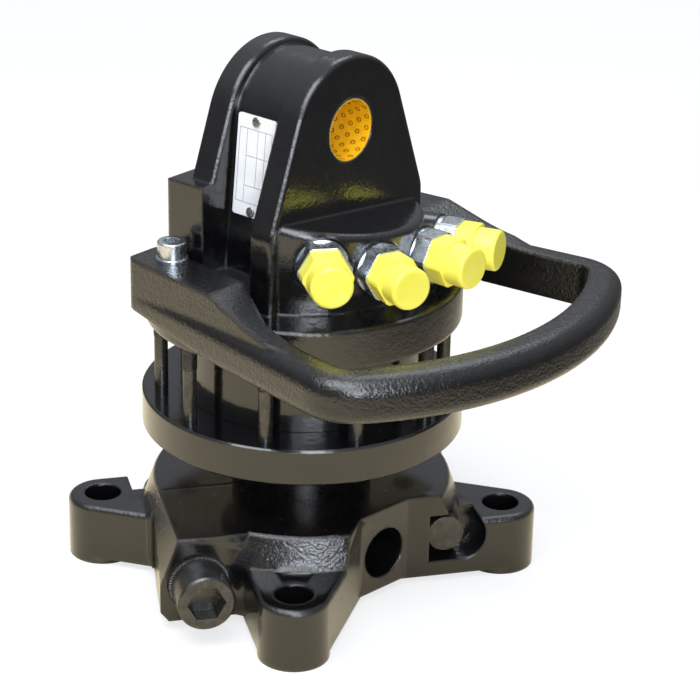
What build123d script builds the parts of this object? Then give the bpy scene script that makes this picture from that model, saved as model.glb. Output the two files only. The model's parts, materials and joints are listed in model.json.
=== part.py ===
from build123d import *
import os
from math import cos, radians, sin, tan

# Hydraulic grapple rotator, in millimetres.
# The Z axis is the axis that the grapple turns about, and z = 0 is the face that the grapple is
# bolted to. The hanging pin runs along X, with the oil ports and the hose guard towards +X.

# Heights of the stack, from the feet up
hub_height = 41.4
neck_gap = 25.6
cover_thickness = 15.7
stator_height = 33.9
deck_thickness = 17.1
eye_rise = 67.2

cover_bottom = hub_height + neck_gap
stator_bottom = cover_bottom + cover_thickness
stator_top = stator_bottom + stator_height
deck_top = stator_top + deck_thickness
eye_z = deck_top + eye_rise

# Running and seating clearances
running_gap = 0.05
end_float = 0.15
fit_gap = 0.1
bolt_gap = 0.3
free_gap = 0.5

# Head casting
deck_r = 66.8
deck_round = 1
ear_outer_x = 24.2
web_half_x = 12.2
ear_top_r = 34
ear_top_drop = 3.4
ear_flare = 20
ear_side_y = 47.6
ear_side_round = 14
ear_round = 2
web_top_r = 29
web_top_drop = 0.9
web_draft = 5.5
recess_floor_rise = 8
block_r = deck_r - 17.3
ledge_rise = 32.3
ledge_fall_x = 0.1
ledge_fall_y = 0.12
ledge_round = 3
rear_block_x = 33
rear_block_y = 48.5
rear_block_rise = 46
rear_block_round = 3
root_depth = 1

# Hanging pin bushes
pin_r = 12.4
liner_thickness = 0.4
shell_thickness = 0.5
bush_length = 21

# Name plate on the web
plate_width = 20
plate_height = 42
plate_thickness = 0.8
plate_rise = 53.3
plate_corner_r = 1.2
rivet_r = 1.3
rivet_head_r = 2.1
rivet_head_t = 0.7
rivet_head_round = 0.4
rivet_spread = 18.7
rivet_depth = 4

# Oil ports: bearing from +X, the washer seat's reach past the block's round wall, its height over
# the deck, and the way that the port points
ports = [
    (-40.42, -1.69, 21.8, -39.5),
    (-11.70, -0.18, 17.3, -20.2),
    (23.79, 1.32, 14.6, -0.5),
    (48.00, 7.29, 11.3, 18.0),
]
port_thread_r = 8.3
port_thread_depth = 13
port_boss_r = 11.6
port_drill_r = 2.5
port_washer_r = 10.7
port_washer_t = 2
adapter_hex = 20
adapter_hex_t = 7.6
spigot_gap = 2
hex_corner_cut = 1.11
nipple_r = 6.6
nipple_length = 13
oil_r = 4
cap_r = 8.7
cap_wall = 1.4
cap_length = 17.5
cap_skirt_af = 18.6
cap_skirt_length = 8

# Cam ring, cover and long bolts
stator_r = 51
cover_r = deck_r + 1.5
cover_chamfer = 0.8
cam_min_r = 39.2
cam_lift = 3.4
bolt_circle_r = deck_r - 6.8
bolt_count = 10
bolt_start = 9
bolt_r = 2.9
bolt_head_r = 5
bolt_head_h = 6
bolt_head_sink = 1
bolt_engagement = 12.5
o_ring_r = 48.4
o_ring_section = 1.25
dowel_r = 2.5
dowel_circle_r = 44
dowel_reach = 6
dowel_end_gap = 1
drill_tip = 1

# Rotor shaft
shaft_r = 30
journal_r = 22
rotor_r = 38.5
journal_top_gap = 1.5
head_bore_rise = 31.5
collar_r = 36
collar_t = 5.3
collar_bottom = 4
vane_count = 7
vane_t = 3.2
vane_slot_depth = 9
side_port_r = 9.3
side_port_depth = 14
side_port_z = 20.6
gallery_r = 4
gallery_offset = 12.5
swivel_groove_w = 6
swivel_groove_d = 2
seal_ring_w = 3
seal_ring_d = 2

# Bearings, washers and seals
bush_wall = 2.5
lower_bush_length = 7
upper_bush_length = 16
thrust_t = 1.6
seal_wall = 5
wiper_height = 2.6

# Clamp flange, in its own directions: the pinch bolts run along its X
clamp_turn = -35.25
hub_top_r = 63.2
hub_wall_r = 68.7
arm_circle_r = 86.5
arm_angles = (75, 345)
arm_flare = 15
arm_height = 27.5
arm_round = 2.5
arm_foot_relief = 3
arm_hole_r = 8
boss_r = 14.9
hub_relief = 4
hub_edge = 1
hub_foot_edge = 3
split_offset = 8.3
split_gap = 0.8
window_angle = 30
window_r = 11.25
window_flat = 51.3
lug_face = 54.3
lug_top_y = 64.5
lug_side_y = 72
lug_foot_y = 68.5
lug_foot_h = 4.5
lug_inner_y = 35
pinch_offset = 56
pinch_r = 8
pinch_length = 90
pinch_head_r = 12
pinch_head_h = 16
pinch_head_edge = 0.8
pinch_socket = 14
pinch_socket_depth = 8
pinch_washer_r = 13
pinch_washer_t = 2.3
pocket_r = 11
pocket_y = 62
pocket_flat_y = 47.6
pocket_floor = 22
key_width = 8
key_length = 22
key_half_height = 3.5
key_angle = -35
key_z = 23

# Hose guard
guard_half_y = deck_r + 6.1
guard_flare = 0.13
guard_bar = 9.5
guard_bulge = 4.5
guard_bulge_flare = 0.167
guard_tip_x = 124.5
guard_tip_r = 128
guard_tip_skew = 4.7
guard_corner_r = 24
guard_inner_corner_r = 8
guard_top_rise = 4.8
guard_bottom_drop = 13.7
guard_top_round = 7
guard_bottom_round = 5
pad_top_rise = 16
pad_back_x = 35
pad_back_y = deck_r - 16.5
pad_front_y = deck_r - 11.2
pad_corner_r = 3
pad_flat_x = 17
pad_end_x = 42
pad_back_drop = 5.7
ramp_foot_x = 50
ramp_end_x = 75
ramp_end_width = 2
ramp_foot_r = 110
ramp_top_r = 8
guard_screw_x = -20
guard_screw_y = deck_r - 8.8
guard_screw_r = 4
guard_head_r = 6
guard_head_h = 7
guard_head_edge = 0.8
guard_screw_reach = 11
guard_washer_r = 6.6
guard_washer_t = 1.4
guard_socket = 6
guard_socket_depth = 4.5


def save(name, *solids):
    """Write one node, as one solid or as a group of separate ones."""
    shape = solids[0] if len(solids) == 1 else Compound(list(solids))
    export_step(shape, f"parts/{name}.step")


def disc(r, z0, z1):
    """A plain disc on the Z axis between two heights."""
    return extrude(Pos(0, 0, z0) * Circle(r), z1 - z0)


def ring(r_out, r_in, z0, z1):
    """A ring on the Z axis between two heights."""
    return extrude(Pos(0, 0, z0) * (Circle(r_out) - Circle(r_in)), z1 - z0)


def rod_x(r, x0, x1, y, z):
    """A round bar along X."""
    return extrude(Plane((x0, y, z), x_dir=(0, 1, 0), z_dir=(1, 0, 0)) * Circle(r), x1 - x0)


def block(x0, x1, y0, y1, z0, z1):
    """A box given by its limits."""
    middle = Pos((x0 + x1) / 2, (y0 + y1) / 2, (z0 + z1) / 2)
    return middle * Box(x1 - x0, y1 - y0, z1 - z0)


def around(count, start=0):
    """Equal steps round the Z axis."""
    return [Rot(0, 0, start + step * 360 / count) for step in range(count)]


def hex_face(across_flats):
    return RegularPolygon(across_flats / 2, 6, major_radius=False)


def port_seat(port):
    """Middle of a port's washer seat."""
    bearing, reach, rise = port[:3]
    r = block_r + reach
    return r * cos(radians(bearing)), r * sin(radians(bearing)), deck_top + rise


def port_plane(port):
    """The washer's seat of a port, facing the way that the hose leaves."""
    angle = radians(port[3])
    way = (cos(angle), sin(angle), 0)
    return Plane(port_seat(port), x_dir=(-way[1], way[0], 0), z_dir=way)


def swivel_heights():
    """Heights of the lower and the upper port that feed the oil swivel."""
    return deck_top + ports[3][2], deck_top + ports[0][2]


def along_port(port, r, start, end):
    """A round bar on a port's axis, measured from the washer's seat."""
    return extrude(port_plane(port).offset(start) * Circle(r), end - start)


# Head casting

def flared_sides(top_r, top_drop, flare, foot_z):
    """Side view of a wall under its round top, measured from the pin's axis."""
    tangent_y = top_r * cos(radians(flare))
    tangent_z = top_r * sin(radians(flare)) - top_drop
    foot_y = tangent_y + (tangent_z - foot_z) * tan(radians(flare))
    return Polygon(
        (-foot_y, foot_z), (foot_y, foot_z), (tangent_y, tangent_z), (-tangent_y, tangent_z),
        align=None,
    )


def ear_face():
    """Side view of an ear: a round top, flared flanks and upright sides, down into the deck."""
    foot_z = -eye_rise - deck_thickness / 2
    sides = flared_sides(ear_top_r, ear_top_drop, ear_flare, foot_z)
    sides &= Rectangle(2 * ear_side_y, 2 * (eye_rise + deck_thickness))
    sides = fillet(sides.vertices().group_by(Axis.Y)[1], ear_side_round)
    return sides + Pos(0, -ear_top_drop) * Circle(ear_top_r)


def web_face():
    """Side view of the web between the ears, narrower than they are."""
    sides = flared_sides(web_top_r, web_top_drop, web_draft, -eye_rise)
    return sides + Pos(0, -web_top_drop) * Circle(web_top_r)


def ear():
    """The ear on the +X side, with rounded edges."""
    side = Plane.YZ.offset(web_half_x) * Pos(0, eye_z)
    plate = extrude(side * ear_face(), ear_outer_x - web_half_x)
    rims = plate.edges().filter_by(Axis.X, reverse=True).sort_by(Axis.Z)[2:]
    return fillet(rims, ear_round)


def port_block():
    """Round block that carries the ports, with a ledge that falls away from the ears."""
    low = deck_top - root_depth
    back = ear_outer_x - ear_round
    body = disc(block_r, low, eye_z) & block(back, block_r, -block_r, block_r, low, eye_z)
    ledge = Plane(
        (ear_outer_x, 0, deck_top + ledge_rise), x_dir=(1, 0, -ledge_fall_x),
        z_dir=(ledge_fall_x, ledge_fall_y, 1),
    )
    body -= extrude(ledge * Rectangle(4 * block_r, 4 * block_r), 2 * eye_rise)
    rim = body.faces().sort_by(Axis.Z)[-1].edges().sort_by(Axis.X)[-1]
    return fillet(rim, ledge_round)


def rear_block():
    """Square block behind the ears."""
    body = block(
        -rear_block_x, 0, -rear_block_y, rear_block_y,
        deck_top - root_depth, deck_top + rear_block_rise,
    )
    rim = body.edges().filter_by(Axis.Y).group_by(Axis.X)[0].sort_by(Axis.Z)[-1]
    return fillet(body.edges().filter_by(Axis.Z).group_by(Axis.X)[0] + [rim], rear_block_round)


def head_top():
    """Everything over the deck, in one piece and before its holes."""
    recess_floor = deck_top + recess_floor_rise
    foot_x = web_half_x + ear_round
    top = port_block() + rear_block()
    for port in ports:
        top += along_port(port, port_boss_r, -port_thread_depth, 0)
    top -= block(-web_half_x, web_half_x, -deck_r, deck_r, recess_floor, eye_z)
    top += block(-foot_x, foot_x, -ear_side_y, ear_side_y, deck_top - root_depth, recess_floor)
    top += extrude(Plane.YZ * Pos(0, eye_z) * web_face(), web_half_x, both=True)
    for half_turn in around(2):
        top += half_turn * ear()
    for port in ports:
        top -= along_port(port, port_boss_r, 0, 2 * port_thread_depth)
    return top


def head_casting():
    deck = disc(deck_r, stator_top, deck_top)
    body = fillet(deck.edges(), deck_round) + head_top()
    shell_r = pin_r + liner_thickness + shell_thickness
    body -= rod_x(shell_r, -ear_outer_x, ear_outer_x, 0, eye_z)
    bore_top = deck_top + head_bore_rise
    body -= disc(journal_r + running_gap, stator_top, bore_top)
    body -= disc(journal_r + bush_wall, stator_top, stator_top + upper_bush_length)
    for port in ports:
        body -= along_port(port, port_thread_r, -port_thread_depth, 0)
    for port in (ports[0], ports[3]):
        body -= along_port(port, port_drill_r, -(block_r + port[1]) / 2, 0)
    for port in ports[1:3]:
        seat = port_plane(port).offset(-port_thread_depth / 2).origin
        body -= Pos(seat.X, seat.Y, 0) * disc(port_drill_r, stator_top, seat.Z)
    for turn in around(bolt_count, bolt_start):
        hole = disc(bolt_r, stator_top, stator_top + bolt_engagement + drill_tip)
        body -= turn * Pos(bolt_circle_r, 0) * hole
    body -= o_ring_groove(stator_top, 1)
    for turn in around(2, 90):
        body -= turn * Pos(dowel_circle_r, 0) * disc(dowel_r, stator_top, stator_top + dowel_reach)
    for side_sign in (-1, 1):
        depth = disc(guard_screw_r, deck_top - guard_screw_reach - drill_tip, deck_top)
        body -= Pos(guard_screw_x, side_sign * guard_screw_y) * depth
    body -= plate_rivet_holes()
    return body


def web_side_plane():
    """The drafted face of the web on the -Y side, at the middle of the name plate."""
    drop = eye_z - web_top_drop - (deck_top + plate_rise)
    face_y = web_top_r / cos(radians(web_draft)) + drop * tan(radians(web_draft))
    normal = (0, -cos(radians(web_draft)), sin(radians(web_draft)))
    return Plane((0, -face_y, deck_top + plate_rise), x_dir=(1, 0, 0), z_dir=normal)


def rivet_places():
    return [Pos(0, side_sign * rivet_spread) for side_sign in (-1, 1)]


def plate_rivet_holes():
    plane = web_side_plane()
    holes = [extrude(plane * (place * Circle(rivet_r)), -rivet_depth) for place in rivet_places()]
    return holes[0] + holes[1]


def nameplate():
    plane = web_side_plane()
    face = RectangleRounded(plate_width, plate_height, plate_corner_r)
    for place in rivet_places():
        face -= place * Circle(rivet_r)
    return extrude(plane * face, plate_thickness)


def nameplate_rivets():
    plane = web_side_plane()
    rivets = []
    for place in rivet_places():
        shank = extrude(plane * (place * Circle(rivet_r)), -rivet_depth)
        neck = extrude(plane * (place * Circle(rivet_r)), plate_thickness)
        head = extrude(plane.offset(plate_thickness) * (place * Circle(rivet_head_r)), rivet_head_t)
        head = fillet(head.edges().sort_by(Axis.Y)[0], rivet_head_round)
        rivets.append(shank + neck + head)
    return rivets


# Hanging pin bushes

def bush_pair(r_out, r_in):
    bushes = []
    for start in (-ear_outer_x, ear_outer_x - bush_length):
        outer = rod_x(r_out, start, start + bush_length, 0, eye_z)
        bushes.append(outer - rod_x(r_in, start, start + bush_length, 0, eye_z))
    return bushes


# Oil ports

def port_washer(port):
    washer = along_port(port, port_washer_r, 0, port_washer_t)
    return washer - along_port(port, port_thread_r, 0, port_washer_t)


def trimmed_hex(port, across_flats, start, end):
    """A hexagon with its corners turned off."""
    body = extrude(port_plane(port).offset(start) * hex_face(across_flats), end - start)
    return body & along_port(port, across_flats / 2 * hex_corner_cut, start, end)


def port_adapter(port):
    hex_end = port_washer_t + adapter_hex_t
    spigot_end = spigot_gap - port_thread_depth
    adapter = along_port(port, port_thread_r, spigot_end, port_washer_t)
    adapter += trimmed_hex(port, adapter_hex, port_washer_t, hex_end)
    adapter += along_port(port, nipple_r, hex_end, hex_end + nipple_length)
    return adapter - along_port(port, oil_r, spigot_end, hex_end + nipple_length)


def port_cap(port):
    base = port_washer_t + adapter_hex_t
    skirt = trimmed_hex(port, cap_skirt_af, base, base + cap_skirt_length)
    barrel = along_port(port, cap_r, base, base + cap_length)
    cap = skirt + barrel
    port_axis = Axis(port_plane(port).origin, port_plane(port).z_dir)
    cap = fillet(cap.faces().sort_by(port_axis)[-1].edges(), cap_wall)
    hollow = along_port(port, nipple_r + fit_gap, base, base + cap_length - cap_wall)
    return cap - hollow


# Motor: cam ring, cover, long bolts

def cam_outline():
    """Inner track of the cam ring: two lobes, as a closed smooth curve."""
    points = []
    for step in range(24):
        angle = radians(step * 15)
        r = cam_min_r + cam_lift * (1 + cos(2 * angle)) / 2
        points.append((r * cos(angle), r * sin(angle)))
    return make_face(Spline(*points, periodic=True))


def cam_ring():
    body = disc(stator_r, stator_bottom, stator_top)
    body -= extrude(Pos(0, 0, stator_bottom) * cam_outline(), stator_height)
    for turn in around(2, 90):
        body -= turn * Pos(dowel_circle_r, 0) * disc(dowel_r, stator_bottom, stator_top)
    return body


def o_ring_groove(z, way):
    """Groove for a cam ring seal, cut into the face at height z, upwards or downwards."""
    depth = 2 * o_ring_section
    low, high = (z, z + depth) if way > 0 else (z - depth, z)
    return ring(o_ring_r + o_ring_section, o_ring_r - o_ring_section, low, high)


def o_rings():
    low = stator_bottom - o_ring_section
    high = stator_top + o_ring_section
    return [Pos(0, 0, z) * Torus(o_ring_r, o_ring_section) for z in (low, high)]


def lower_cover():
    body = disc(cover_r, cover_bottom, stator_bottom)
    body = chamfer(body.edges(), cover_chamfer)
    body -= disc(shaft_r + bolt_gap, cover_bottom, stator_bottom)
    seat_r = shaft_r + bush_wall
    body -= disc(seat_r, stator_bottom - thrust_t - lower_bush_length, stator_bottom)
    body -= disc(shaft_r + seal_wall, cover_bottom, cover_bottom + wiper_height)
    body -= disc(shaft_r + seal_wall, *seal_span())
    body -= disc(rotor_r, stator_bottom - thrust_t, stator_bottom)
    for turn in around(bolt_count, bolt_start):
        place = turn * Pos(bolt_circle_r, 0)
        body -= place * disc(bolt_r + fit_gap, cover_bottom, stator_bottom)
        seat = cover_bottom + bolt_head_h + bolt_head_sink
        body -= place * disc(bolt_head_r + bolt_gap, cover_bottom, seat)
    body -= o_ring_groove(stator_bottom, -1)
    for turn in around(2, 90):
        pin = disc(dowel_r, stator_bottom - dowel_reach, stator_bottom)
        body -= turn * Pos(dowel_circle_r, 0) * pin
    return body


def cover_bolts():
    seat = cover_bottom + bolt_head_h + bolt_head_sink
    bolts = []
    for turn in around(bolt_count, bolt_start):
        head = disc(bolt_head_r, seat - bolt_head_h, seat)
        socket = extrude(Pos(0, 0, seat - bolt_head_h) * hex_face(bolt_head_r), bolt_head_h / 2)
        shank = disc(bolt_r, seat, stator_top + bolt_engagement)
        bolts.append(turn * Pos(bolt_circle_r, 0) * (head - socket + shank))
    return bolts


def dowel_pins():
    reach = dowel_reach - dowel_end_gap
    pin = disc(dowel_r, stator_bottom - reach, stator_top + reach)
    return [turn * Pos(dowel_circle_r, 0) * pin for turn in around(2, 90)]


# Bearings and seals

def seal_span():
    low = cover_bottom + wiper_height
    return low, stator_bottom - thrust_t - lower_bush_length


def lower_bush():
    low = stator_bottom - thrust_t - lower_bush_length
    return ring(shaft_r + bush_wall, shaft_r + running_gap, low, stator_bottom - thrust_t)


def upper_bush():
    low = stator_top
    return ring(journal_r + bush_wall, journal_r + running_gap, low, low + upper_bush_length)


def thrust_washer():
    low = stator_bottom - thrust_t
    return ring(rotor_r, shaft_r + bolt_gap, low, stator_bottom)


def shaft_seal():
    low, high = seal_span()
    return ring(shaft_r + seal_wall, shaft_r + running_gap, low, high)


def dust_wiper():
    top = cover_bottom + wiper_height
    return ring(shaft_r + seal_wall, shaft_r + running_gap, cover_bottom, top)


def seal_ring_heights():
    """Swivel seals: below, between and above the two port grooves."""
    low, high = swivel_heights()
    step = (high - low) / 2
    return [low - step, (low + high) / 2, high + step]


def swivel_seals():
    rings = []
    for z in seal_ring_heights():
        half = seal_ring_w / 2
        rings.append(ring(journal_r - running_gap, journal_r - seal_ring_d, z - half, z + half))
    return rings


# Rotor shaft and vanes

def vane_box(r_in, r_out, gap):
    """One vane or its slot, on +X."""
    half = vane_t / 2 + gap
    low = stator_bottom + end_float
    return block(r_in, r_out, -half, half, low, stator_top - end_float)


def rotor_shaft():
    bore_top = deck_top + head_bore_rise
    body = disc(shaft_r, collar_bottom, stator_bottom + end_float)
    body += disc(collar_r, collar_bottom, collar_bottom + collar_t)
    body += disc(rotor_r, stator_bottom + end_float, stator_top - end_float)
    body += disc(journal_r, stator_top - end_float, bore_top - journal_top_gap)
    for turn in around(vane_count):
        body -= turn * vane_box(rotor_r - vane_slot_depth, rotor_r + 1, fit_gap)
    for z in swivel_heights():
        half = swivel_groove_w / 2
        body -= ring(journal_r + 1, journal_r - swivel_groove_d, z - half, z + half)
    for z in seal_ring_heights():
        half = seal_ring_w / 2
        body -= ring(journal_r + 1, journal_r - seal_ring_d, z - half, z + half)
    for turn, top in zip(window_turns(), swivel_heights()):
        body -= turn * rod_x(side_port_r, shaft_r - side_port_depth, shaft_r + 1, 0, side_port_z)
        body -= turn * Pos(gallery_offset, 0) * disc(gallery_r, side_port_z, top)
        body -= turn * rod_x(gallery_r / 2, gallery_offset, journal_r, 0, top)
    for turn in key_turns():
        body -= turn * key_solid()
    return body


def vanes():
    reach = cam_min_r - 2 * running_gap
    root = reach - vane_slot_depth
    return [turn * vane_box(root, reach, 0) for turn in around(vane_count)]


def vane_springs():
    """Flat wave strips under the vanes, from the slot's floor to the vane's root."""
    floor = rotor_r - vane_slot_depth
    root = cam_min_r - 2 * running_gap - vane_slot_depth
    half = vane_t / 2
    span = stator_height / 3
    middle = (stator_bottom + stator_top) / 2
    return [
        turn * block(floor, root, -half, half, middle - span, middle + span)
        for turn in around(vane_count)
    ]


def window_turns():
    return [Rot(0, 0, clamp_turn + window_angle + half_turn) for half_turn in (0, 180)]


def key_turns():
    return [Rot(0, 0, clamp_turn + key_angle + half_turn) for half_turn in (0, 180)]


def key_solid():
    """A drive key, half in the shaft and half in the clamp."""
    half_w = key_width / 2
    half_l = key_length / 2
    return block(
        shaft_r - key_half_height, shaft_r + key_half_height, -half_w, half_w,
        key_z - half_l, key_z + half_l,
    )


# Clamp flange

def arm(angle):
    """One arm along a direction of the clamp: flanks tangent to its boss, which alone is a foot."""
    tangent_x = arm_circle_r + boss_r * sin(radians(arm_flare))
    tangent_y = boss_r * cos(radians(arm_flare))
    root_y = tangent_y + tangent_x * tan(radians(arm_flare))
    boss = Pos(arm_circle_r, 0) * Circle(boss_r)
    plan = boss + Polygon(
        (0, -root_y), (tangent_x, -tangent_y), (tangent_x, tangent_y), (0, root_y), align=None,
    )
    body = extrude(Pos(0, 0, arm_foot_relief) * plan, arm_height - arm_foot_relief)
    body = fillet(body.faces().sort_by(Axis.Z)[-1].edges().sort_by(Axis.X)[1:], arm_round)
    return Rot(0, 0, angle) * (body + extrude(boss, arm_height / 2))


def hub():
    """Round hub with a rough flared wall, relieved underneath."""
    profile = Polygon(
        (0, hub_relief), (hub_wall_r - hub_edge, hub_relief),
        (hub_wall_r, hub_relief + hub_foot_edge), (hub_wall_r, arm_height),
        (hub_top_r + hub_edge, hub_height - hub_edge), (hub_top_r, hub_height),
        (0, hub_height), align=None,
    )
    return revolve(Plane.XZ * profile, Axis.Z)


def lug():
    """Lug that a pinch bolt passes through, on the -Y side, widest at the bolt and below."""
    middle = hub_height / 2
    profile = Polygon(
        (lug_inner_y, hub_relief), (lug_foot_y, hub_relief), (lug_side_y, hub_relief + lug_foot_h),
        (lug_side_y, middle), (lug_top_y, hub_height), (lug_inner_y, hub_height), align=None,
    )
    side = Plane((split_offset, 0, 0), x_dir=(0, -1, 0), z_dir=(-1, 0, 0))
    return extrude(side * profile, split_offset - lug_face)


def notch():
    """The space between the two arms, in front of the hose window."""
    far = 2 * arm_circle_r
    flank = arm_circle_r * sin(radians(arm_flare)) + boss_r
    space = Rot(0, 0, window_angle) * block(window_flat, far, -far, far, 0, hub_height)
    for normal in (arm_angles[0] - 90 + arm_flare, arm_angles[1] + 90 - arm_flare):
        space &= Rot(0, 0, normal) * block(flank, far, -far, far, 0, hub_height)
    return space


def pinch_pocket():
    """Pocket in the arm's flank, square on one side and round on the other, for the bolt's end."""
    far = 2 * arm_circle_r
    z = hub_height / 2
    square = block(pocket_floor, far, pocket_flat_y, pocket_y, z - pocket_r, z + pocket_r)
    return square + rod_x(pocket_r, pocket_floor, far, pocket_y, z)


def clamp_half():
    """One half of the clamp flange, on the +X side of its joint."""
    body = hub() - notch() + lug()
    for angle in arm_angles:
        body += arm(angle)
    body -= joint_cut()
    body -= disc(shaft_r + running_gap, 0, hub_height)
    body -= disc(collar_r + bolt_gap, 0, collar_bottom + collar_t)
    body -= Rot(0, 0, window_angle) * rod_x(window_r, shaft_r / 2, 2 * hub_wall_r, 0, side_port_z)
    z = hub_height / 2
    body -= rod_x(pinch_r + bolt_gap, -hub_wall_r, 2 * hub_wall_r, -pinch_offset, z)
    body -= rod_x(pinch_r, -hub_wall_r, 2 * hub_wall_r, pinch_offset, z)
    body -= pinch_pocket()
    for angle in arm_angles:
        body -= Rot(0, 0, angle) * Pos(arm_circle_r, 0) * disc(arm_hole_r, 0, arm_height)
    return body - Rot(0, 0, key_angle) * key_solid()


def joint_cut():
    """What lies past the joint: it is stepped, so that the halves hook past each other."""
    reach = 2 * arm_circle_r
    half_gap = split_gap / 2
    low = block(-reach, split_offset + half_gap, -reach, 0, 0, hub_height)
    high = block(-reach, half_gap - split_offset, 0, reach, 0, hub_height)
    return low + high


def pinch_bolt():
    head_start = lug_face + pinch_washer_t
    z = hub_height / 2
    head = rod_x(pinch_head_r, head_start, head_start + pinch_head_h, -pinch_offset, z)
    head = chamfer(head.edges().sort_by(Axis.X)[-1], pinch_head_edge)
    socket_start = head_start + pinch_head_h - pinch_socket_depth
    socket_plane = Plane((socket_start, -pinch_offset, z), x_dir=(0, 1, 0), z_dir=(1, 0, 0))
    socket = extrude(socket_plane * hex_face(pinch_socket), pinch_socket_depth)
    shank = rod_x(pinch_r, head_start - pinch_length, head_start, -pinch_offset, z)
    return head - socket + shank


def pinch_washer():
    z = hub_height / 2
    outer = rod_x(pinch_washer_r, lug_face, lug_face + pinch_washer_t, -pinch_offset, z)
    return outer - rod_x(pinch_r, lug_face, lug_face + pinch_washer_t, -pinch_offset, z)


# Hose guard

def guard_edge_y(x):
    """Distance from the middle line to the outer edge of the guard's top."""
    return guard_half_y + guard_flare * x


def guard_inner_y(x):
    return guard_edge_y(x) - guard_bar


def guard_bulge_y(x):
    """Outermost line of a side, which leaves the top's edge at the pad's back corner."""
    return guard_edge_y(-pad_back_x) + guard_bulge_flare * (x + pad_back_x)


def guard_outline(side_y, tip_x, corner_r):
    """Plan of the loop: two flared sides and a round tip that is a little skewed."""
    back = pad_corner_r - pad_back_x
    front = 2 * tip_x
    sides = Polygon(
        (back, -side_y(back)), (front, -side_y(front)), (front, side_y(front)),
        (back, side_y(back)), align=None,
    )
    tip = Pos(guard_tip_x - guard_tip_r, guard_tip_skew) * Circle(guard_tip_r + tip_x - guard_tip_x)
    face = sides & tip
    corners = face.vertices().filter_by(lambda v: v.X > guard_tip_x / 2)
    return fillet(corners, corner_r)


def guard_loop():
    """The bar round the ports, bulging outwards under its flat top."""
    low = deck_top - guard_bottom_drop
    height = guard_top_rise + guard_bottom_drop
    outer = guard_outline(guard_bulge_y, guard_tip_x + guard_bulge, guard_corner_r)
    body = extrude(Pos(0, 0, low) * outer, height)
    body = fillet(body.faces().sort_by(Axis.Z)[-1].edges().sort_by(Axis.X)[1:], guard_top_round)
    body = fillet(body.faces().sort_by(Axis.Z)[0].edges().sort_by(Axis.X)[1:], guard_bottom_round)
    inner = guard_outline(guard_inner_y, guard_tip_x - guard_bar, guard_inner_corner_r)
    body -= extrude(Pos(0, 0, low) * inner, height)
    rise = Polygon(
        (-pad_back_x, low), (pad_end_x, low), (-pad_back_x, deck_top - pad_back_drop), align=None,
    )
    return body - extrude(Plane.XZ * rise, 2 * guard_half_y, both=True)


def guard_pad():
    """The pad on the +Y side with its ramp, where the guard is screwed to the deck."""
    back = -pad_back_x
    end_y = guard_inner_y(ramp_end_x)
    plan = Polygon(
        (back, pad_back_y), (pad_flat_x, pad_front_y), (pad_end_x, guard_inner_y(pad_end_x)),
        (ramp_end_x, end_y), (ramp_end_x, end_y + ramp_end_width),
        (ramp_foot_x, guard_edge_y(ramp_foot_x)), (back, guard_edge_y(back)), align=None,
    )
    plan = fillet(plan.vertices().group_by(Axis.X)[0], pad_corner_r)
    low = deck_top - pad_back_drop
    body = extrude(Pos(0, 0, low) * plan, pad_top_rise + pad_back_drop)
    return body & extrude(Plane.XZ * guard_side_view(), 2 * guard_half_y, both=True)


def guard_side_view():
    """Side view of the pads, with ramps that run out into the bar's top."""
    low = deck_top - pad_back_drop
    top = deck_top + guard_top_rise
    pad_top = deck_top + pad_top_rise
    view = Polygon(
        (-pad_back_x, low), (ramp_end_x, low), (ramp_end_x, top), (ramp_foot_x, top),
        (pad_flat_x, pad_top), (-pad_back_x, pad_top), align=None,
    )
    for x, r in ((ramp_foot_x, ramp_foot_r), (pad_flat_x, ramp_top_r)):
        view = fillet(view.vertices().sort_by(lambda v: abs(v.X - x))[0], r)
    return view


def hose_guard():
    pad = guard_pad()
    body = guard_loop() + pad + mirror(pad, about=Plane.XZ)
    body -= disc(deck_r + free_gap, 0, deck_top)
    for sign in (-1, 1):
        hole = disc(guard_screw_r + bolt_gap, deck_top, deck_top + pad_top_rise)
        body -= Pos(guard_screw_x, sign * guard_screw_y) * hole
    return body


def guard_screw(sign):
    seat = deck_top + pad_top_rise + guard_washer_t
    head = disc(guard_head_r, seat, seat + guard_head_h)
    head = fillet(head.edges().sort_by(Axis.Z)[-1], guard_head_edge)
    socket_low = seat + guard_head_h - guard_socket_depth
    head -= extrude(Pos(0, 0, socket_low) * hex_face(guard_socket), guard_socket_depth)
    shank = disc(guard_screw_r, deck_top - guard_screw_reach, seat)
    return Pos(guard_screw_x, sign * guard_screw_y) * (head + shank)


def guard_washer(sign):
    seat = deck_top + pad_top_rise
    washer = ring(guard_washer_r, guard_screw_r + bolt_gap, seat, seat + guard_washer_t)
    return Pos(guard_screw_x, sign * guard_screw_y) * washer


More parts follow.
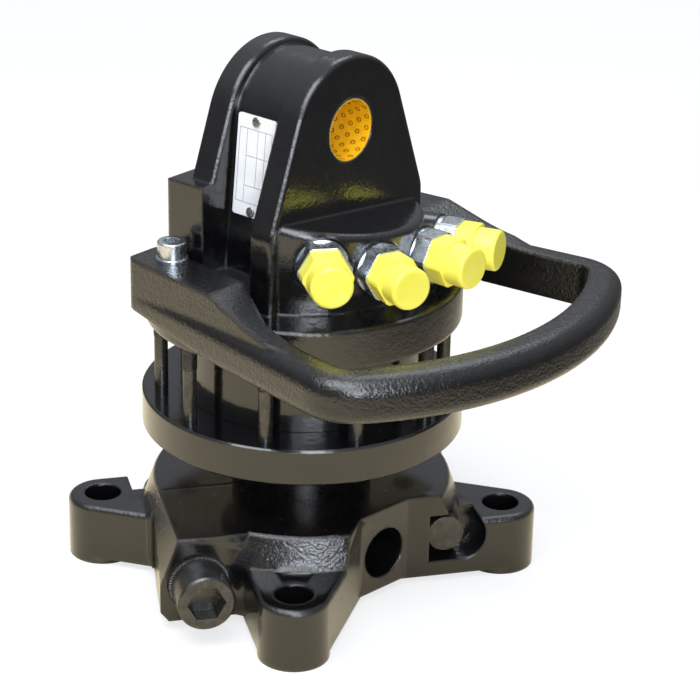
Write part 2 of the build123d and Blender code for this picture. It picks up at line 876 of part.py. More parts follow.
def main():
    os.makedirs("parts", exist_ok=True)
    shell_in = pin_r + liner_thickness
    front_turn = Rot(0, 0, clamp_turn)
    rear_turn = Rot(0, 0, clamp_turn + 180)

    save("head_casting", head_casting())
    save("pin_bushes", *bush_pair(shell_in + shell_thickness, shell_in))
    save("bush_liners", *bush_pair(shell_in, pin_r))
    save("nameplate", nameplate())
    save("nameplate_rivets", *nameplate_rivets())
    save("port_washers", *[port_washer(port) for port in ports])
    save("port_adapters", *[port_adapter(port) for port in ports])
    save("port_caps", *[port_cap(port) for port in ports])
    save("hose_guard", hose_guard())
    save("guard_screws", *[guard_screw(sign) for sign in (-1, 1)])
    save("guard_washers", *[guard_washer(sign) for sign in (-1, 1)])

    save("cam_ring", cam_ring())
    save("lower_cover", lower_cover())
    save("cover_bolts", *cover_bolts())
    save("cam_ring_dowels", *dowel_pins())
    save("cam_ring_seals", *o_rings())
    save("lower_bush", lower_bush())
    save("upper_bush", upper_bush())
    save("thrust_washer", thrust_washer())
    save("shaft_seal", shaft_seal())
    save("dust_wiper", dust_wiper())

    save("rotor_shaft", rotor_shaft())
    save("swivel_seals", *swivel_seals())
    save("vanes", *vanes())
    save("vane_springs", *vane_springs())
    save("drive_keys", *[turn * key_solid() for turn in key_turns()])
    save("clamp_half_front", front_turn * clamp_half())
    save("clamp_half_rear", rear_turn * clamp_half())
    save("pinch_bolts", front_turn * pinch_bolt(), rear_turn * pinch_bolt())
    save("pinch_washers", front_turn * pinch_washer(), rear_turn * pinch_washer())


main()
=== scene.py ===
import json
import math

import bmesh
import bpy
from mathutils import Matrix, Vector

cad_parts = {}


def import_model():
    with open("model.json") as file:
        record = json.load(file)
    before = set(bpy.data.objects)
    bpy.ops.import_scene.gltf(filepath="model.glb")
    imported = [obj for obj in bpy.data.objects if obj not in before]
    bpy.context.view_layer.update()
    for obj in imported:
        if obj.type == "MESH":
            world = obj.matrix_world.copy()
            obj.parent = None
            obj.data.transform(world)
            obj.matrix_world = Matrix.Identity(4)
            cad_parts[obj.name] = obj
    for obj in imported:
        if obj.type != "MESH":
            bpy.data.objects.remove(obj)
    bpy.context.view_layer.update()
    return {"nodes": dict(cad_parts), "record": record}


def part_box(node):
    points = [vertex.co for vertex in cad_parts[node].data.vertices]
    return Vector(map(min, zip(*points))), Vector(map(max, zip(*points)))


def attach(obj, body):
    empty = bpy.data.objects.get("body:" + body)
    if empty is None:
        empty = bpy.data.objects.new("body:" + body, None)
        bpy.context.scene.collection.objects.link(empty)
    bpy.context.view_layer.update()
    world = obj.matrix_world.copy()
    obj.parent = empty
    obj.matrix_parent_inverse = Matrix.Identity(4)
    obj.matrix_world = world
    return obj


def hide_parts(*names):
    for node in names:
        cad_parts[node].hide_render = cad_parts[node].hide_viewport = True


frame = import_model()

# Camera: where the photograph was taken from, in degrees, metres and pixels
CAMERA_AZIMUTH = 41.34
CAMERA_ELEVATION = 23.51
CAMERA_ROLL = 0.69
CAMERA_DISTANCE = 1.05347
CAMERA_TARGET_Z = 0.09929
PICTURE_SIDE = 700
FOCAL_PIXELS = 2486.0
PICTURE_CENTRE = (302.95, 345.61)
SENSOR = 36.0
CLIP = (0.05, 20.0)

# Floor, in metres: a painted pool of light, pale around the object, and painted dark further away. The camera
# sees it white instead, of which the object's shadow can take SHADOW_SHARE.
FLOOR_SIZE = 6.0
FLOOR_POOL_PALE = (0.84, 0.69, 0.46)
FLOOR_PAINTED_DARK = (0.06, 0.055, 0.05)
PAINTED_POOL_CENTRE = (-0.10, -0.22)
PAINTED_POOL_FADE = (0.42, 0.62)
SHADOW_SHARE = 0.28

# Share of the white background that gloss sees, beside the lit floor and the sky
GLOSSY_SHARE = 0.05

# Sky: sine of the elevation, colour
SKY = [
    (0.0, (0.10, 0.10, 0.105)),
    (0.39, (0.24, 0.25, 0.27)),
    (0.87, (0.52, 0.56, 0.62)),
    (1.0, (0.8, 0.85, 0.95)),
]

# Lamps: name, azimuth and elevation in degrees, distance and size in metres, watts, colour
LAMP_AIM_Z = 0.12
LAMPS = [
    ("key", 15, 64, 1.3, (1.1, 0.9), 17, (0.93, 0.97, 1.0)),
    ("front", 46, 28, 1.8, (0.8, 1.0), 10, (0.86, 0.92, 1.0)),
    ("low_front", 52, 15, 1.8, (0.6, 0.4), 12, (0.84, 0.91, 1.0)),
    ("back", -150, 50, 1.6, (0.8, 0.5), 4, (0.9, 0.95, 1.0)),
]

# Finishes: a colour and a roughness each follow a noise between these limits
TONE_LIMITS = (0.35, 0.7)
GLOSS_LIMITS = (0.3, 0.7)
PAINT_SPREAD = 0.12
NOISE_ROUGH = 0.6
BEVEL_SAMPLES = 4

# Cast skin of the clamp: full grain on its sloping flanks, little on its walls and tops. The sines are those
# of the normal's elevation where the grain begins to rise, is full, begins to fall and is little again.
PLAIN_GRAIN = 0.1
FLANK_SINES = (0.15, 0.3, 0.8, 0.95)

# Meshes: points nearer than WELD are one, and edges over these angles in degrees stay sharp
WELD = 1e-6
SHARP = 35
CLAMP_SHARP = 13
LOCK_SHARP = 20

# Threads of the long bolts, in metres; foot and crest are half widths in pitches
THREAD_R = 0.0029
THREAD_SINK = 0.0001
THREAD_DEPTH = 0.00028
THREAD_PITCH = 0.001
THREAD_LENGTH = 0.0126
THREAD_STEPS = 28
THREAD_FOOT = 0.42
THREAD_CREST = 0.08

# Clamp: its turn to the ears, and the line of a lug's side, in metres, from the joint outwards
CLAMP_TURN = math.radians(-35.25)
LUG_SIDE = ((0.0070, -0.0664), (0.0560, -0.0722))
LUG_CLEAR_Y = -0.09
LUG_CLEAR_Z = (-0.01, 0.06)

# Lock washers, in metres; the profile is one tooth, from its tip to its gap and back
LOCK_BORE_R = 0.0085
LOCK_TEETH = 72
LOCK_PROFILE = (0.0, 0.15, 1.0, 0.85)
LOCK_TOOTH = 0.0005
LOCK_EDGE = 0.0004

# Bush liners and their grease pockets, in metres
PIN_R = 0.0124
POCKET_COLUMNS = 5
POCKET_ROWS = 16
POCKET_R = 0.00115
POCKET_DEPTH = 0.0002
POCKET_RIM = 0.42
POCKET_FINE = 10

# Ruled lines of the plate, in metres from its middle: half a line's width, and each line's place, the middle
# of its length and half its length
PLATE_LINE = 0.00016
PLATE_UPRIGHTS = (
    (-0.0086, 0.0, 0.0152),
    (-0.0046, 0.0, 0.0152),
    (0.0012, 0.0035, 0.0117),
    (0.0052, 0.0, 0.0152),
    (0.0086, 0.0, 0.0152),
)
PLATE_LEVELS = (
    (0.0152, 0.0, 0.0086),
    (0.0041, 0.0020, 0.0066),
    (-0.0082, 0.0020, 0.0066),
    (-0.0152, 0.0, 0.0086),
)


def camera():
    azimuth, elevation, roll = map(math.radians, (CAMERA_AZIMUTH, CAMERA_ELEVATION, CAMERA_ROLL))
    back = Vector((
        math.sin(azimuth) * math.cos(elevation),
        -math.cos(azimuth) * math.cos(elevation),
        math.sin(elevation),
    ))
    right = Vector((math.cos(azimuth), math.sin(azimuth), 0.0))
    up = back.cross(right)
    rolled_right = math.cos(roll) * right + math.sin(roll) * up
    rolled_up = -math.sin(roll) * right + math.cos(roll) * up
    data = bpy.data.cameras.new("camera")
    data.sensor_width = SENSOR
    data.lens = FOCAL_PIXELS / PICTURE_SIDE * SENSOR
    data.shift_x = (PICTURE_SIDE / 2 - PICTURE_CENTRE[0]) / PICTURE_SIDE
    data.shift_y = (PICTURE_CENTRE[1] - PICTURE_SIDE / 2) / PICTURE_SIDE
    data.clip_start, data.clip_end = CLIP
    place = Matrix((rolled_right, rolled_up, back)).transposed().to_4x4()
    place.translation = Vector((0, 0, CAMERA_TARGET_Z)) + back * CAMERA_DISTANCE
    eye = bpy.data.objects.new("camera", data)
    eye.matrix_world = place
    bpy.context.collection.objects.link(eye)
    bpy.context.scene.camera = eye


class Nodes:
    """Short way to write a node material."""

    def __init__(self, name):
        self.material = bpy.data.materials.new(name)
        self.material.use_nodes = True
        self.tree = self.material.node_tree
        self.tree.nodes.clear()
        self.output = self.tree.nodes.new("ShaderNodeOutputMaterial")
        self.shader = self.add("ShaderNodeBsdfPrincipled")
        self.link(self.shader.outputs["BSDF"], self.output.inputs["Surface"])
        self.place = self.add("ShaderNodeTexCoord").outputs["Object"]

    def add(self, kind, **values):
        node = self.tree.nodes.new(kind)
        for key, value in values.items():
            setattr(node, key, value)
        return node

    def link(self, out, into):
        self.tree.links.new(out, into)

    def set(self, **values):
        for key, value in values.items():
            self.shader.inputs[key.replace("_", " ")].default_value = value

    def stretch(self, x, y, z):
        """Object coordinates, each multiplied by its own factor."""
        node = self.add("ShaderNodeMapping")
        node.inputs["Scale"].default_value = (x, y, z)
        self.link(self.place, node.inputs["Vector"])
        return node.outputs["Vector"]

    def noise(self, scale, detail, rough=NOISE_ROUGH, place=None):
        node = self.add("ShaderNodeTexNoise")
        node.inputs["Scale"].default_value = scale
        node.inputs["Detail"].default_value = detail
        node.inputs["Roughness"].default_value = rough
        self.link(place or self.place, node.inputs["Vector"])
        return node.outputs["Fac"]

    def cells(self, scale):
        """Distance to the middle of the nearest of many small cells."""
        node = self.add("ShaderNodeTexVoronoi", feature="SMOOTH_F1")
        node.inputs["Scale"].default_value = scale
        self.link(self.place, node.inputs["Vector"])
        return node.outputs["Distance"]

    def ramp(self, value, low, high, out_low=0.0, out_high=1.0):
        node = self.add("ShaderNodeMapRange")
        node.inputs["From Min"].default_value = low
        node.inputs["From Max"].default_value = high
        node.inputs["To Min"].default_value = out_low
        node.inputs["To Max"].default_value = out_high
        self.link(value, node.inputs["Value"])
        return node.outputs["Result"]

    def math(self, operation, first, second=None, third=None):
        node = self.add("ShaderNodeMath", operation=operation)
        for socket, value in zip(node.inputs, (first, second, third)):
            if value is None:
                continue
            if isinstance(value, (int, float)):
                socket.default_value = value
            else:
                self.link(value, socket)
        return node.outputs[0]

    def mix(self, factor, first, second):
        """Blends two colours, each a triple or a socket."""
        node = self.add("ShaderNodeMix", data_type="RGBA")
        self.link(factor, node.inputs["Factor"])
        for socket, value in (("A", first), ("B", second)):
            if isinstance(value, tuple):
                node.inputs[socket].default_value = (*value, 1)
            else:
                self.link(value, node.inputs[socket])
        return node.outputs["Result"]

    def flanks(self, low, full, fade, high):
        """1 where the normal's sine is between full and fade, PLAIN_GRAIN below low and above high."""
        split = self.add("ShaderNodeSeparateXYZ")
        self.link(self.add("ShaderNodeNewGeometry").outputs["True Normal"], split.inputs[0])
        rising = self.ramp(split.outputs["Z"], low, full, PLAIN_GRAIN, 1.0)
        falling = self.ramp(split.outputs["Z"], fade, high, 1.0, PLAIN_GRAIN)
        return self.math("MINIMUM", rising, falling)

    def grain(self, scale, detail, depth, place=None):
        """A noise for bump(), with its depth in metres."""
        return self.noise(scale, detail, place=place), depth

    def bump(self, heights, edge, strength=None):
        """Rounds the edges, then chains bumps: each is a height value and its depth in metres."""
        bevel = self.add("ShaderNodeBevel", samples=BEVEL_SAMPLES)
        bevel.inputs["Radius"].default_value = edge
        normal = bevel.outputs["Normal"]
        for height, depth in heights:
            node = self.add("ShaderNodeBump")
            node.inputs["Distance"].default_value = depth
            if strength is not None:
                self.link(strength, node.inputs["Strength"])
            self.link(height, node.inputs["Height"])
            self.link(normal, node.inputs["Normal"])
            normal = node.outputs["Normal"]
        self.link(normal, self.shader.inputs["Normal"])
        self.link(normal, self.shader.inputs["Coat Normal"])

    def colour(self, value):
        self.link(value, self.shader.inputs["Base Color"])

    def tone(self, scale, detail, dark, light, limits=TONE_LIMITS):
        """A colour that drifts from dark to light as a noise goes from one limit to the other."""
        return self.mix(self.ramp(self.noise(scale, detail), *limits), dark, light)

    def gloss(self, scale, detail, smooth, rough):
        """Roughness that drifts between two levels."""
        value = self.ramp(self.noise(scale, detail), *GLOSS_LIMITS, smooth, rough)
        self.link(value, self.shader.inputs["Roughness"])


def black_paint(name, peel, grain, rough, edge, coat=1.0, flanks_only=False):
    """Black paint over a casting: peel and grain are the (scale, depth) of its waves and its fine skin."""
    m = Nodes(name)
    m.set(Coat_Weight=coat, Coat_Roughness=0.08, Coat_IOR=1.6, Specular_IOR_Level=0.25)
    m.colour(m.tone(scale=90, detail=6, dark=(0.003, 0.003, 0.0035), light=(0.007, 0.0067, 0.0063),
                    limits=(0.45, 0.75)))
    m.gloss(scale=260, detail=5, smooth=rough, rough=rough + PAINT_SPREAD)
    peel_scale, peel_depth = peel
    grain_scale, grain_depth = grain
    heights = [
        (m.noise(peel_scale, detail=3), peel_depth),
        (m.cells(grain_scale), grain_depth),
        (m.noise(grain_scale, detail=4, rough=0.7), grain_depth),
    ]
    m.bump(heights, edge, m.flanks(*FLANK_SINES) if flanks_only else None)
    return m.material


def black_steel():
    m = Nodes("black_finished_steel")
    m.set(Metallic=0.85, Specular_IOR_Level=0.5)
    m.colour(m.tone(scale=200, detail=5, dark=(0.075, 0.074, 0.074), light=(0.12, 0.115, 0.108),
                    limits=(0.4, 0.7)))
    m.gloss(scale=500, detail=4, smooth=0.22, rough=0.36)
    waves = m.grain(scale=300, detail=3, depth=0.00005)
    specks = m.grain(scale=1500, detail=3, depth=0.00002)
    m.bump([waves, specks], edge=0.0004)
    return m.material


def zinc():
    m = Nodes("zinc_plating")
    m.set(Metallic=1.0)
    m.colour(m.tone(scale=220, detail=5, dark=(0.66, 0.71, 0.76), light=(0.84, 0.87, 0.9)))
    m.gloss(scale=600, detail=4, smooth=0.2, rough=0.36)
    waves = m.grain(scale=400, detail=3, depth=0.00004)
    specks = m.grain(scale=1800, detail=3, depth=0.00001)
    m.bump([waves, specks], edge=0.0005)
    return m.material


def steel(name, dark, light):
    """Ground steel, with fine level marks."""
    m = Nodes(name)
    m.set(Metallic=1.0)
    m.colour(m.tone(scale=150, detail=5, dark=dark, light=light))
    m.gloss(scale=700, detail=4, smooth=0.2, rough=0.36)
    m.bump([m.grain(scale=90, detail=3, depth=0.00001, place=m.stretch(1, 1, 40))], edge=0.0004)
    return m.material


def bronze():
    m = Nodes("bearing_bronze")
    m.set(Metallic=1.0)
    m.colour(m.tone(scale=180, detail=5, dark=(0.45, 0.26, 0.1), light=(0.6, 0.38, 0.16)))
    m.gloss(scale=600, detail=4, smooth=0.28, rough=0.42)
    m.bump([m.grain(scale=1500, detail=2, depth=0.00001)], edge=0.0003)
    return m.material


def cap_yellow():
    m = Nodes("cap_yellow_plastic")
    m.set(Specular_IOR_Level=0.5)
    m.set(Subsurface_Weight=0.2, Subsurface_Scale=0.003, Subsurface_Radius=(1.0, 0.9, 0.3))
    m.colour(m.tone(scale=120, detail=4, dark=(0.97, 0.86, 0.10), light=(0.99, 0.90, 0.15)))
    m.gloss(scale=500, detail=4, smooth=0.3, rough=0.42)
    m.bump([m.grain(scale=500, detail=3, depth=0.00005)], edge=0.0008)
    return m.material


def liner_yellow():
    m = Nodes("bush_liner")
    m.set(Specular_IOR_Level=0.5)
    m.colour(m.tone(scale=260, detail=5, dark=(0.93, 0.46, 0.006), light=(0.98, 0.60, 0.012)))
    m.gloss(scale=600, detail=4, smooth=0.3, rough=0.45)
    m.bump([m.grain(scale=1200, detail=3, depth=0.00002)], edge=0.0002)
    return m.material


def pocket_brown():
    m = Nodes("liner_pockets")
    m.colour(m.tone(scale=400, detail=5, dark=(0.34, 0.09, 0.004), light=(0.50, 0.17, 0.005)))
    m.gloss(scale=600, detail=4, smooth=0.35, rough=0.55)
    m.bump([m.grain(scale=1500, detail=3, depth=0.00003)], edge=0.0001)
    return m.material


def plate_silver():
    """Pale plate with plain ruled lines, kept off its two rivets."""
    m = Nodes("plate_aluminium")
    m.set(Specular_IOR_Level=0.5)
    low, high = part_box("nameplate")
    middle = [(a + b) / 2 for a, b in zip(low, high)]
    split = m.add("ShaderNodeSeparateXYZ")
    m.link(m.place, split.inputs[0])
    across, up = split.outputs["X"], split.outputs["Z"]
    lines = 0.0
    for x, z, reach in PLATE_UPRIGHTS:
        on_line = m.math("COMPARE", across, middle[0] + x, PLATE_LINE)
        in_reach = m.math("COMPARE", up, middle[2] + z, reach)
        lines = m.math("MAXIMUM", m.math("MULTIPLY", on_line, in_reach), lines)
    for z, x, reach in PLATE_LEVELS:
        on_line = m.math("COMPARE", up, middle[2] + z, PLATE_LINE)
        in_reach = m.math("COMPARE", across, middle[0] + x, reach)
        lines = m.math("MAXIMUM", m.math("MULTIPLY", on_line, in_reach), lines)
    bare = m.tone(scale=160, detail=5, dark=(0.80, 0.81, 0.84), light=(0.88, 0.88, 0.9))
    m.colour(m.mix(lines, bare, (0.34, 0.34, 0.35)))
    m.gloss(scale=700, detail=4, smooth=0.3, rough=0.42)
    m.bump([m.grain(scale=60, detail=2, depth=0.00001, place=m.stretch(1, 1, 30))], edge=0.0003)
    return m.material


def rubber():
    m = Nodes("seal_rubber")
    m.colour(m.tone(scale=300, detail=5, dark=(0.012, 0.012, 0.012), light=(0.025, 0.025, 0.025)))
    m.gloss(scale=600, detail=4, smooth=0.5, rough=0.7)
    m.bump([m.grain(scale=1200, detail=3, depth=0.00003)], edge=0.0003)
    return m.material


def make_materials():
    """The record's slots, and the scene's own paints, by name."""
    return {
        "black_gloss": black_paint(
            "black_smooth_paint", peel=(180, 0.00006), grain=(1300, 0.000008), rough=0.16, edge=0.0008),
        "black_cast": black_paint(
            "black_rough_cast_paint", peel=(520, 0.00018), grain=(900, 0.00013), rough=0.24, edge=0.003,
            coat=0.85),
        "head_paint": black_paint(
            "black_head_paint", peel=(220, 0.00012), grain=(900, 0.00003), rough=0.18, edge=0.0018),
        "clamp_paint": black_paint(
            "black_clamp_paint", peel=(420, 0.00022), grain=(1100, 0.00013), rough=0.16, edge=0.0018,
            flanks_only=True),
        "black_steel": black_steel(),
        "zinc": zinc(),
        "cap_yellow": cap_yellow(),
        "liner_yellow": liner_yellow(),
        "pocket_brown": pocket_brown(),
        "steel": steel("ground_steel", dark=(0.4, 0.4, 0.41), light=(0.6, 0.6, 0.6)),
        # Steel darkened to near black, for the rotor shaft.
        "near_black_steel": steel("near_black_steel", dark=(0.03, 0.029, 0.028), light=(0.055, 0.052, 0.05)),
        "bronze": bronze(),
        "plate_silver": plate_silver(),
        "rubber": rubber(),
    }


OWN_PAINT = {
    "head_casting": "head_paint",
    "clamp_half_front": "clamp_paint",
    "clamp_half_rear": "clamp_paint",
    "rotor_shaft": "near_black_steel",
}


def dress_nodes(materials):
    """Gives every node of the frame the material of its slot, or its own paint."""
    for row in frame["record"]["subparts"]:
        name = OWN_PAINT.get(row["node"], row["material_slot"])
        slots = frame["nodes"][row["node"]].data.materials
        slots.clear()
        slots.append(materials[name])


def solids_of(node):
    """Lowest and highest corner of each separate solid of a node, in a fixed order."""
    bm = bmesh.new()
    bm.from_mesh(frame["nodes"][node].data)
    bmesh.ops.remove_doubles(bm, verts=bm.verts, dist=WELD)
    left = set(bm.verts)
    boxes = []
    while left:
        group, edge = [], [left.pop()]
        while edge:
            vertex = edge.pop()
            group.append(vertex.co.copy())
            for link in vertex.link_edges:
                other = link.other_vert(vertex)
                if other in left:
                    left.remove(other)
                    edge.append(other)
        boxes.append((Vector(map(min, zip(*group))), Vector(map(max, zip(*group)))))
    bm.free()
    return sorted(boxes, key=lambda box: tuple(box[0]))


def skin(bm, rings, closed):
    """Joins rings of points into a tube, which closes on itself or is capped at both ends."""
    rows = [[bm.verts.new(point) for point in ring] for ring in rings]
    count = len(rows[0])
    following = rows[1:] + rows[:1] if closed else rows[1:]
    faces = []
    for first, second in zip(rows, following):
        for i in range(count):
            j = (i + 1) % count
            faces.append(bm.faces.new((first[i], first[j], second[j], second[i])))
    if not closed:
        bm.faces.new(list(reversed(rows[0])))
        bm.faces.new(rows[-1])
    return faces


def piece(bm, name, body, materials, sharp=SHARP):
    """Turns a mesh under construction into a piece that rides on a body."""
    bmesh.ops.recalc_face_normals(bm, faces=bm.faces)
    mesh = bpy.data.meshes.new(name)
    bm.to_mesh(mesh)
    bm.free()
    for material in materials:
        mesh.materials.append(material)
    mesh.shade_smooth()
    mesh.set_sharp_from_angle(angle=math.radians(sharp))
    obj = bpy.data.objects.new(name, mesh)
    bpy.context.collection.objects.link(obj)
    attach(obj, body)
    return obj


def liners(materials):
    """The two bush liners, with staggered grease pockets pressed into their running face."""
    for number, (low, high) in enumerate(solids_of("bush_liners"), 1):
        outer_r = (high.z - low.z) / 2
        middle_y, middle_z = (low.y + high.y) / 2, (low.z + high.z) / 2
        pitch_x = (high.x - low.x) / POCKET_COLUMNS
        pitch_round = 2 * math.pi * PIN_R / POCKET_ROWS
        across, around = POCKET_COLUMNS * POCKET_FINE, POCKET_ROWS * POCKET_FINE

        def reach(x, step):
            """Distance to the nearest pocket's centre, in pocket radii."""
            column = min(int((x - low.x) / pitch_x), POCKET_COLUMNS - 1)
            along = x - low.x - (column + 0.5) * pitch_x
            turn = step / POCKET_FINE + 0.5 * (column % 2)
            return math.hypot(along, (turn - math.floor(turn) - 0.5) * pitch_round) / POCKET_R

        def ring(x, radii):
            """Points round the pin's axis, each at its own radius."""
            angles = [2 * math.pi * step / around for step in range(around)]
            return [(x, middle_y + r * math.cos(angle), middle_z + r * math.sin(angle))
                    for r, angle in zip(radii, angles)]

        places = [low.x + (high.x - low.x) * i / across for i in range(across + 1)]
        rings = [ring(low.x, [outer_r] * around)]
        for x in places:
            bowls = [math.cos(math.pi / 2 * min(1, reach(x, step))) ** 2 for step in range(around)]
            rings.append(ring(x, [PIN_R + POCKET_DEPTH * bowl for bowl in bowls]))
        rings.append(ring(high.x, [outer_r] * around))
        bm = bmesh.new()
        faces = skin(bm, rings, closed=True)
        for face, index in zip(faces[around:-2 * around], range(across * around)):
            column, step = divmod(index, around)
            spot = reach((places[column] + places[column + 1]) / 2, step + 0.5)
            face.material_index = int(POCKET_RIM < spot < 1)
        obj = piece(bm, f"pocketed_liner_{number}", "housing",
                    [materials["liner_yellow"], materials["pocket_brown"]])
        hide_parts("bush_liners")


def clamp_halves(materials):
    """The clamp halves, with lugs that draw in towards the joint as the castings' do."""
    (start_x, start_y), (end_x, end_y) = LUG_SIDE
    plan = [(start_x, start_y), (end_x, end_y), (end_x, LUG_CLEAR_Y), (start_x, LUG_CLEAR_Y)]
    for node, turn in (("clamp_half_front", CLAMP_TURN), ("clamp_half_rear", CLAMP_TURN + math.pi)):
        bm = bmesh.new()
        turned = Matrix.Rotation(turn, 3, "Z")
        skin(bm, [[turned @ Vector((x, y, z)) for x, y in plan] for z in LUG_CLEAR_Z], closed=False)
        bmesh.ops.recalc_face_normals(bm, faces=bm.faces)
        mesh = bpy.data.meshes.new("beside_lug")
        bm.to_mesh(mesh)
        bm.free()
        cutter = bpy.data.objects.new("beside_lug", mesh)
        bpy.context.collection.objects.link(cutter)
        bm = bmesh.new()
        bm.from_mesh(frame["nodes"][node].data)
        bmesh.ops.remove_doubles(bm, verts=bm.verts, dist=WELD)
        obj = piece(bm, f"{node}_casting", "rotor", [materials["clamp_paint"]], CLAMP_SHARP)
        trim = obj.modifiers.new("trim", "BOOLEAN")
        trim.operation = "DIFFERENCE"
        trim.solver = "EXACT"
        trim.object = cutter
        trimmed = bpy.data.meshes.new_from_object(obj.evaluated_get(bpy.context.evaluated_depsgraph_get()))
        obj.modifiers.clear()
        obj.data = trimmed
        bpy.data.objects.remove(cutter)
        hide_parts(node)


def lock_washers(materials):
    """Toothed lock washers under the heads of the pinch bolts."""
    axis = Vector((math.cos(CLAMP_TURN), math.sin(CLAMP_TURN), 0))
    aside = Vector((-math.sin(CLAMP_TURN), math.cos(CLAMP_TURN), 0))
    for number, (low, high) in enumerate(solids_of("pinch_washers"), 1):
        outer_r = (high.z - low.z) / 2
        thick = (high.x - low.x - 2 * outer_r * abs(aside.x)) / abs(axis.x)
        middle = (low + high) / 2
        half = thick / 2
        rings = []
        steps = LOCK_TEETH * len(LOCK_PROFILE)
        for step in range(steps):
            angle = 2 * math.pi * step / steps
            way = aside * math.cos(angle) + Vector((0, 0, math.sin(angle)))
            gap = LOCK_PROFILE[step % len(LOCK_PROFILE)] * LOCK_TOOTH
            rim = outer_r - gap
            section = [
                (LOCK_BORE_R, -half),
                (rim - LOCK_EDGE, -half),
                (rim, -half + LOCK_EDGE),
                (rim, half - LOCK_EDGE),
                (rim - LOCK_EDGE, half - gap / 2),
                (LOCK_BORE_R, half),
            ]
            rings.append([middle + way * r + axis * t for r, t in section])
        bm = bmesh.new()
        skin(bm, rings, closed=True)
        obj = piece(bm, f"toothed_washer_{number}", "rotor",
                    [materials["black_steel"]], LOCK_SHARP)
        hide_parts("pinch_washers")


def bolt_threads(materials):
    """Threads at the upper ends of the long bolts, just under the head."""
    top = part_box("cam_ring")[1][2]
    turns = int(THREAD_LENGTH / THREAD_PITCH)
    bm = bmesh.new()
    for low, high in solids_of("cover_bolts"):
        middle = (low + high) / 2
        rings = []
        for step in range(turns * THREAD_STEPS + 1):
            angle = 2 * math.pi * step / THREAD_STEPS
            z = top - THREAD_LENGTH + THREAD_PITCH * (0.5 + (step / THREAD_STEPS) * (turns - 1) / turns)
            root = THREAD_R - THREAD_SINK
            crest = THREAD_R + THREAD_DEPTH * min(1, step / THREAD_STEPS)
            section = [
                (root, -THREAD_FOOT),
                (crest, -THREAD_CREST),
                (crest, THREAD_CREST),
                (root, THREAD_FOOT),
            ]
            rings.append([
                (middle.x + r * math.cos(angle), middle.y + r * math.sin(angle), z + share * THREAD_PITCH)
                for r, share in section
            ])
        skin(bm, rings, closed=False)
    piece(bm, "cover_bolt_threads", "housing", [materials["black_steel"]])


# Light: a floor with a painted pool of light that ends in painted dark, a soft sky and four broad lamps


def background_share(tree):
    """Share of the white background that a ray sees: all for the camera or through glass, little in gloss."""
    path = tree.nodes.new("ShaderNodeLightPath")
    gloss = tree.nodes.new("ShaderNodeMath")
    gloss.operation = "MULTIPLY"
    gloss.inputs[1].default_value = GLOSSY_SHARE
    tree.links.new(path.outputs["Is Glossy Ray"], gloss.inputs[0])
    total = gloss.outputs[0]
    for name in ("Is Transmission Ray", "Is Camera Ray"):
        add = tree.nodes.new("ShaderNodeMath")
        add.operation = "ADD"
        add.use_clamp = True
        tree.links.new(total, add.inputs[0])
        tree.links.new(path.outputs[name], add.inputs[1])
        total = add.outputs[0]
    return total


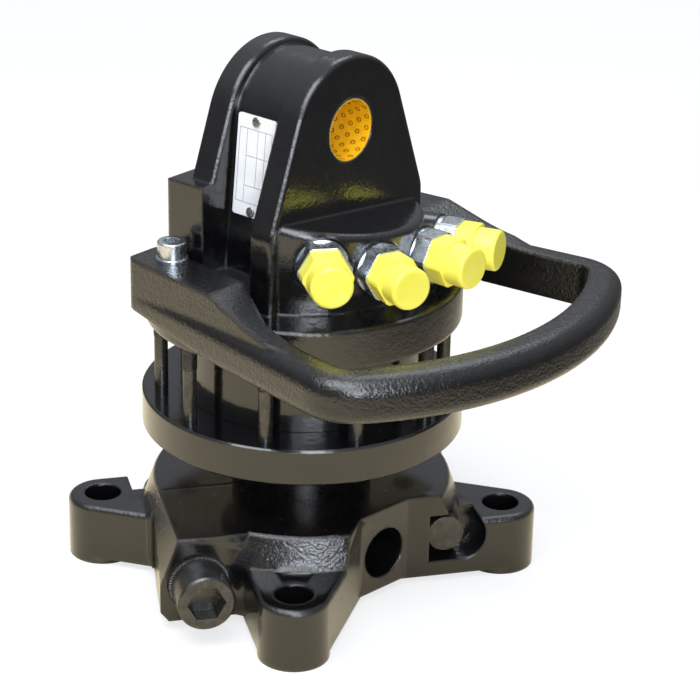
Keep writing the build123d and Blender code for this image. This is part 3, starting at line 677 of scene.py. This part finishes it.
def floor():
    bpy.ops.mesh.primitive_plane_add(size=FLOOR_SIZE)
    plane = bpy.context.object
    plane.name = "floor"
    m = Nodes("floor")
    tree = m.tree
    tree.nodes.remove(m.shader)
    split = m.add("ShaderNodeSeparateXYZ")
    m.link(m.place, split.inputs[0])
    aside = m.math("SUBTRACT", split.outputs["X"], PAINTED_POOL_CENTRE[0])
    along = m.math("SUBTRACT", split.outputs["Y"], PAINTED_POOL_CENTRE[1])
    away = m.math("SQRT", m.math("ADD", m.math("MULTIPLY", aside, aside), m.math("MULTIPLY", along, along)))
    lit = m.add("ShaderNodeBsdfDiffuse")
    # The lit floor's colour is a painted pool of light: pale near the object, fading to painted dark further
    # away.
    m.link(m.mix(m.ramp(away, *PAINTED_POOL_FADE), FLOOR_POOL_PALE, FLOOR_PAINTED_DARK), lit.inputs["Color"])
    white = m.add("ShaderNodeEmission")
    white.inputs["Strength"].default_value = 1 - SHADOW_SHARE
    shadow = m.add("ShaderNodeBsdfDiffuse")
    shadow.inputs["Color"].default_value = (SHADOW_SHARE, SHADOW_SHARE, SHADOW_SHARE, 1)
    seen = m.add("ShaderNodeAddShader")
    m.link(white.outputs[0], seen.inputs[0])
    m.link(shadow.outputs[0], seen.inputs[1])
    blend = m.add("ShaderNodeMixShader")
    m.link(background_share(tree), blend.inputs["Fac"])
    m.link(lit.outputs[0], blend.inputs[1])
    m.link(seen.outputs[0], blend.inputs[2])
    m.link(blend.outputs[0], m.output.inputs["Surface"])
    plane.data.materials.append(m.material)


def world():
    w = bpy.data.worlds.new("studio")
    bpy.context.scene.world = w
    w.use_nodes = True
    tree = w.node_tree
    tree.nodes.clear()
    output = tree.nodes.new("ShaderNodeOutputWorld")
    place = tree.nodes.new("ShaderNodeTexCoord")
    split = tree.nodes.new("ShaderNodeSeparateXYZ")
    ramp = tree.nodes.new("ShaderNodeValToRGB")
    sky = tree.nodes.new("ShaderNodeBackground")
    white = tree.nodes.new("ShaderNodeBackground")
    blend = tree.nodes.new("ShaderNodeMixShader")
    tree.links.new(place.outputs["Generated"], split.inputs[0])
    tree.links.new(split.outputs["Z"], ramp.inputs["Fac"])
    elements = ramp.color_ramp.elements
    while len(elements) < len(SKY):
        elements.new(0.5)
    for element, (where, colour) in zip(elements, SKY):
        element.position = where
        element.color = (*colour, 1)
    tree.links.new(ramp.outputs["Color"], sky.inputs["Color"])
    white.inputs["Color"].default_value = (1, 1, 1, 1)
    tree.links.new(background_share(tree), blend.inputs["Fac"])
    tree.links.new(sky.outputs[0], blend.inputs[1])
    tree.links.new(white.outputs[0], blend.inputs[2])
    tree.links.new(blend.outputs[0], output.inputs["Surface"])


def lamp(name, azimuth, elevation, distance, size, watts, colour):
    a, e = math.radians(azimuth), math.radians(elevation)
    way = Vector((math.sin(a) * math.cos(e), -math.cos(a) * math.cos(e), math.sin(e)))
    data = bpy.data.lights.new(name, "AREA")
    data.shape = "RECTANGLE"
    data.size, data.size_y = size
    data.energy = watts
    data.color = colour
    obj = bpy.data.objects.new(name, data)
    obj.location = Vector((0, 0, LAMP_AIM_Z)) + way * distance
    obj.rotation_mode = "QUATERNION"
    obj.rotation_quaternion = (-way).to_track_quat("-Z", "Y")
    bpy.context.collection.objects.link(obj)


def studio():
    floor()
    world()
    for settings in LAMPS:
        lamp(*settings)


camera()
materials = make_materials()
dress_nodes(materials)
liners(materials)
clamp_halves(materials)
lock_washers(materials)
bolt_threads(materials)
studio()

bpy.context.scene.view_settings.view_transform = "Standard"
